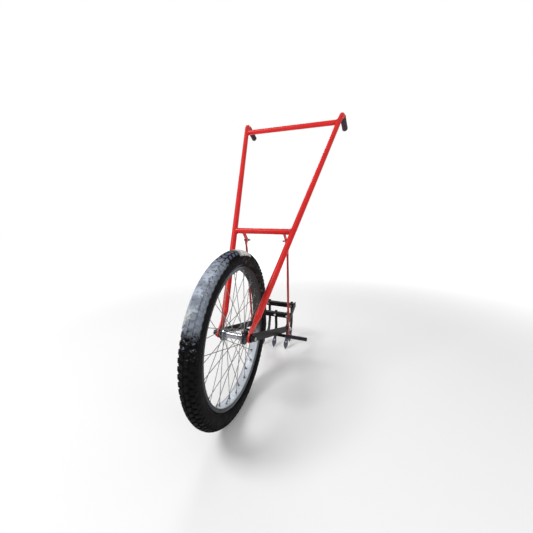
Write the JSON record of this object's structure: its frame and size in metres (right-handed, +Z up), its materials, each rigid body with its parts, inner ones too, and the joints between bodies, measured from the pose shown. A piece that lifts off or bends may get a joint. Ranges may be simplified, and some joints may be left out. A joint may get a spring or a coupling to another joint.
{
  "type": "single-wheel hoe",
  "caption": "Hand-pushed single-wheel hoe: a bicycle wheel in a tall red tube handle frame, with a spring-tine cultivator trailed behind it on two flat arms.",
  "frame": {"origin": "bottom centre of the bounding box, on the ground between the wheel and the tines", "axes": "+X to the operator's left along the axle, +Y backwards towards the operator, +Z up; it is pushed along -Y"},
  "size_m": [0.4928, 1.0598, 1.0569],
  "materials": {
    "tyre_rubber": "block tread with dried mud",
    "tube_rubber": "smooth",
    "rim_steel": "plated, dusty",
    "spoke_steel": "dull plating",
    "hub_chrome": "polished",
    "zinc_steel": "zinc plated",
    "black_steel": "blackened",
    "bearing_steel": "ground",
    "black_plastic": "moulded",
    "valve_brass": "worn",
    "red_paint": "gloss enamel",
    "dark_red_paint": "gloss enamel",
    "grip_rubber": "soft matt",
    "sleeve_rubber": "smooth, slightly glossy",
    "black_paint": "satin enamel",
    "tine_steel": "satin enamel",
    "point_steel": "dark forged steel"
  },
  "bodies": {
    "handle_frame": {"axle": "zinc_steel", "axle_cones": "bearing_steel", "axle_nuts": "zinc_steel", "axle_washers": "zinc_steel", "grip_left": "grip_rubber", "grip_right": "grip_rubber", "leg_left": "red_paint", "leg_right": "red_paint", "lock_nuts": "zinc_steel", "mid_crossbar": "red_paint", "strut_bolts": "black_steel", "strut_nuts": "zinc_steel", "strut_tab_left": "red_paint", "strut_tab_right": "red_paint", "top_crossbar": "red_paint"},
    "wheel": {"bearing_balls": "bearing_steel", "bearing_cups": "bearing_steel", "dust_caps": "black_plastic", "hub_shell": "hub_chrome", "inner_tube": "tube_rubber", "rim": "rim_steel", "rim_tape": "tube_rubber", "spoke_nipples": "spoke_steel", "spokes_left_leading": "spoke_steel", "spokes_left_trailing": "spoke_steel", "spokes_right_leading": "spoke_steel", "spokes_right_trailing": "spoke_steel", "tyre": "tyre_rubber", "valve_cap": "black_plastic", "valve_stem": "valve_brass"},
    "left_strut": {"strut_left": "dark_red_paint"},
    "right_strut": {"strut_right": "dark_red_paint"},
    "arms": {"arm_left": "black_paint", "arm_right": "black_paint", "side_bar": "black_paint", "side_bar_plug": "black_plastic", "side_bar_sleeve": "sleeve_rubber", "arm_bolts": "zinc_steel", "arm_nuts": "zinc_steel", "arm_washers": "zinc_steel"},
    "tool_frame": {"front_tool_bar": "black_paint", "point_front_left": "point_steel", "point_front_middle": "point_steel", "point_front_right": "point_steel", "point_rear_left": "point_steel", "point_rear_right": "point_steel", "point_rivets": "zinc_steel", "rear_tool_bar": "black_paint", "side_plate_left": "black_paint", "side_plate_right": "black_paint", "tine_bolts": "zinc_steel", "tine_front_left": "tine_steel", "tine_front_middle": "tine_steel", "tine_front_right": "tine_steel", "tine_nuts": "zinc_steel", "tine_rear_left": "tine_steel", "tine_rear_right": "tine_steel"}
  },
  "joints": [
    {"name": "wheel_spin", "type": "hinge", "parent": "handle_frame", "child": "wheel", "pos_m": [0, -0.26995, 0.26], "axis": [1, 0, 0], "continuous": true},
    {"name": "arm_tilt", "type": "hinge", "parent": "handle_frame", "child": "arms", "pos_m": [0, -0.26995, 0.26], "axis": [1, 0, 0], "range_deg": [-5, 3]},
    {"name": "left_strut_swing", "type": "hinge", "parent": "handle_frame", "child": "left_strut", "pos_m": [0, 0.03235, 0.52], "axis": [1, 0, 0], "range_deg": [-3, 2]},
    {"name": "right_strut_swing", "type": "hinge", "parent": "handle_frame", "child": "right_strut", "pos_m": [0, 0.03235, 0.52], "axis": [1, 0, 0], "range_deg": [-3, 2]},
    {"name": "tool_frame_tilt", "type": "hinge", "parent": "arms", "child": "tool_frame", "pos_m": [0, 0.10405, 0.136], "axis": [1, 0, 0], "range_deg": [-12, 12]}
  ],
  "couplings": [
    {"joint": "left_strut_swing", "follows": "arm_tilt", "ratio": 0.488},
    {"joint": "right_strut_swing", "follows": "arm_tilt", "ratio": 0.488}
  ]
}
